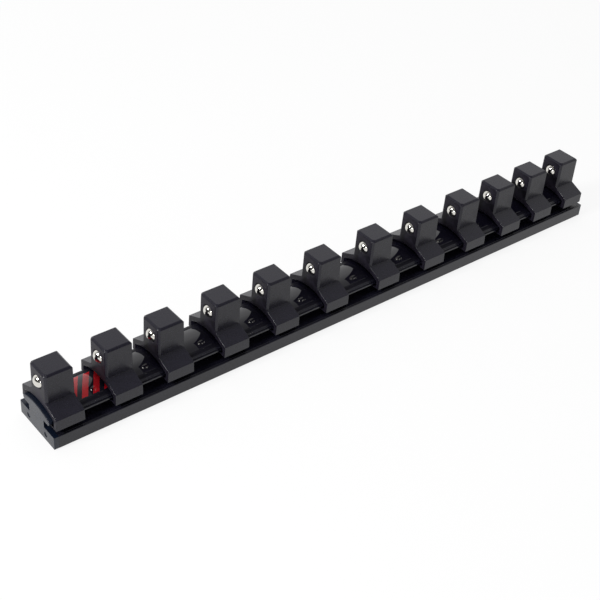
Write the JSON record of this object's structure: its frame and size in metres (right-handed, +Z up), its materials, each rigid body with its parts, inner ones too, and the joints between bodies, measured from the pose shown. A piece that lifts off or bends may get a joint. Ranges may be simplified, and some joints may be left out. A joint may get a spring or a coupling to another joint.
{
  "type": "socket rail",
  "caption": "Low extruded rail with end caps and sliding clips, each with a square drive post and a sprung ball that holds a socket.",
  "frame": {"origin": "middle of the rail's underside", "axes": "+X along the rail, away from the end that the balls face; +Y across the rail; +Z up, out of the drive posts"},
  "size_m": [0.3175, 0.028, 0.0319],
  "materials": {
    "rail_anodised": "extruded, black anodised, satin",
    "crown_gloss": "gloss black strip with slanted red bars",
    "cap_plastic": "moulded, fine matte grain",
    "clip_plastic": "moulded, satin with a fine grain",
    "ball_steel": "polished steel",
    "spring_steel": "drawn spring wire"
  },
  "bodies": {
    "rail": {"rail": "rail_anodised", "crown_strip": "crown_gloss", "end_cap_left": "cap_plastic", "end_cap_right": "cap_plastic"},
    "clip_01": {"clip_01": "clip_plastic", "detent_spring_01": "spring_steel"},
    "detent_ball_01": {"detent_ball_01": "ball_steel"},
    "clip_02": {"clip_02": "clip_plastic", "detent_spring_02": "spring_steel"},
    "detent_ball_02": {"detent_ball_02": "ball_steel"},
    "clip_03": {"clip_03": "clip_plastic", "detent_spring_03": "spring_steel"},
    "detent_ball_03": {"detent_ball_03": "ball_steel"},
    "clip_04": {"clip_04": "clip_plastic", "detent_spring_04": "spring_steel"},
    "detent_ball_04": {"detent_ball_04": "ball_steel"},
    "clip_05": {"clip_05": "clip_plastic", "detent_spring_05": "spring_steel"},
    "detent_ball_05": {"detent_ball_05": "ball_steel"},
    "clip_06": {"clip_06": "clip_plastic", "detent_spring_06": "spring_steel"},
    "detent_ball_06": {"detent_ball_06": "ball_steel"},
    "clip_07": {"clip_07": "clip_plastic", "detent_spring_07": "spring_steel"},
    "detent_ball_07": {"detent_ball_07": "ball_steel"},
    "clip_08": {"clip_08": "clip_plastic", "detent_spring_08": "spring_steel"},
    "detent_ball_08": {"detent_ball_08": "ball_steel"},
    "clip_09": {"clip_09": "clip_plastic", "detent_spring_09": "spring_steel"},
    "detent_ball_09": {"detent_ball_09": "ball_steel"},
    "clip_10": {"clip_10": "clip_plastic", "detent_spring_10": "spring_steel"},
    "detent_ball_10": {"detent_ball_10": "ball_steel"},
    "clip_11": {"clip_11": "clip_plastic", "detent_spring_11": "spring_steel"},
    "detent_ball_11": {"detent_ball_11": "ball_steel"},
    "clip_12": {"clip_12": "clip_plastic", "detent_spring_12": "spring_steel"},
    "detent_ball_12": {"detent_ball_12": "ball_steel"}
  },
  "joints": [
    {"name": "clip_slide_01", "type": "slide", "parent": "rail", "child": "clip_01", "axis": [1, 0, 0], "range_m": [-0.0012, 0.0063]},
    {"name": "ball_press_01", "type": "slide", "parent": "clip_01", "child": "detent_ball_01", "axis": [1, 0, 0], "range_m": [0, 0.0015], "stiffness_N_per_m": 1500, "springref_m": -0.0015, "deforming": ["detent_spring_01"]},
    {"name": "clip_slide_02", "type": "slide", "parent": "rail", "child": "clip_02", "axis": [1, 0, 0], "range_m": [-0.0063, 0.0054]},
    {"name": "ball_press_02", "type": "slide", "parent": "clip_02", "child": "detent_ball_02", "axis": [1, 0, 0], "range_m": [0, 0.0015], "stiffness_N_per_m": 1500, "springref_m": -0.0015, "deforming": ["detent_spring_02"]},
    {"name": "clip_slide_03", "type": "slide", "parent": "rail", "child": "clip_03", "axis": [1, 0, 0], "range_m": [-0.0054, 0.0072]},
    {"name": "ball_press_03", "type": "slide", "parent": "clip_03", "child": "detent_ball_03", "axis": [1, 0, 0], "range_m": [0, 0.0015], "stiffness_N_per_m": 1500, "springref_m": -0.0015, "deforming": ["detent_spring_03"]},
    {"name": "clip_slide_04", "type": "slide", "parent": "rail", "child": "clip_04", "axis": [1, 0, 0], "range_m": [-0.0072, 0.0066]},
    {"name": "ball_press_04", "type": "slide", "parent": "clip_04", "child": "detent_ball_04", "axis": [1, 0, 0], "range_m": [0, 0.0015], "stiffness_N_per_m": 1500, "springref_m": -0.0015, "deforming": ["detent_spring_04"]},
    {"name": "clip_slide_05", "type": "slide", "parent": "rail", "child": "clip_05", "axis": [1, 0, 0], "range_m": [-0.0066, 0.0072]},
    {"name": "ball_press_05", "type": "slide", "parent": "clip_05", "child": "detent_ball_05", "axis": [1, 0, 0], "range_m": [0, 0.0015], "stiffness_N_per_m": 1500, "springref_m": -0.0015, "deforming": ["detent_spring_05"]},
    {"name": "clip_slide_06", "type": "slide", "parent": "rail", "child": "clip_06", "axis": [1, 0, 0], "range_m": [-0.0072, 0.0086]},
    {"name": "ball_press_06", "type": "slide", "parent": "clip_06", "child": "detent_ball_06", "axis": [1, 0, 0], "range_m": [0, 0.0015], "stiffness_N_per_m": 1500, "springref_m": -0.0015, "deforming": ["detent_spring_06"]},
    {"name": "clip_slide_07", "type": "slide", "parent": "rail", "child": "clip_07", "axis": [1, 0, 0], "range_m": [-0.0086, 0.0075]},
    {"name": "ball_press_07", "type": "slide", "parent": "clip_07", "child": "detent_ball_07", "axis": [1, 0, 0], "range_m": [0, 0.0015], "stiffness_N_per_m": 1500, "springref_m": -0.0015, "deforming": ["detent_spring_07"]},
    {"name": "clip_slide_08", "type": "slide", "parent": "rail", "child": "clip_08", "axis": [1, 0, 0], "range_m": [-0.0075, 0.0068]},
    {"name": "ball_press_08", "type": "slide", "parent": "clip_08", "child": "detent_ball_08", "axis": [1, 0, 0], "range_m": [0, 0.0015], "stiffness_N_per_m": 1500, "springref_m": -0.0015, "deforming": ["detent_spring_08"]},
    {"name": "clip_slide_09", "type": "slide", "parent": "rail", "child": "clip_09", "axis": [1, 0, 0], "range_m": [-0.0068, 0.0055]},
    {"name": "ball_press_09", "type": "slide", "parent": "clip_09", "child": "detent_ball_09", "axis": [1, 0, 0], "range_m": [0, 0.0015], "stiffness_N_per_m": 1500, "springref_m": -0.0015, "deforming": ["detent_spring_09"]},
    {"name": "clip_slide_10", "type": "slide", "parent": "rail", "child": "clip_10", "axis": [1, 0, 0], "range_m": [-0.0055, 0.0047]},
    {"name": "ball_press_10", "type": "slide", "parent": "clip_10", "child": "detent_ball_10", "axis": [1, 0, 0], "range_m": [0, 0.0015], "stiffness_N_per_m": 1500, "springref_m": -0.0015, "deforming": ["detent_spring_10"]},
    {"name": "clip_slide_11", "type": "slide", "parent": "rail", "child": "clip_11", "axis": [1, 0, 0], "range_m": [-0.0047, 0.0044]},
    {"name": "ball_press_11", "type": "slide", "parent": "clip_11", "child": "detent_ball_11", "axis": [1, 0, 0], "range_m": [0, 0.0015], "stiffness_N_per_m": 1500, "springref_m": -0.0015, "deforming": ["detent_spring_11"]},
    {"name": "clip_slide_12", "type": "slide", "parent": "rail", "child": "clip_12", "axis": [1, 0, 0], "range_m": [-0.0044, 0.002]},
    {"name": "ball_press_12", "type": "slide", "parent": "clip_12", "child": "detent_ball_12", "axis": [1, 0, 0], "range_m": [0, 0.0015], "stiffness_N_per_m": 1500, "springref_m": -0.0015, "deforming": ["detent_spring_12"]}
  ]
}
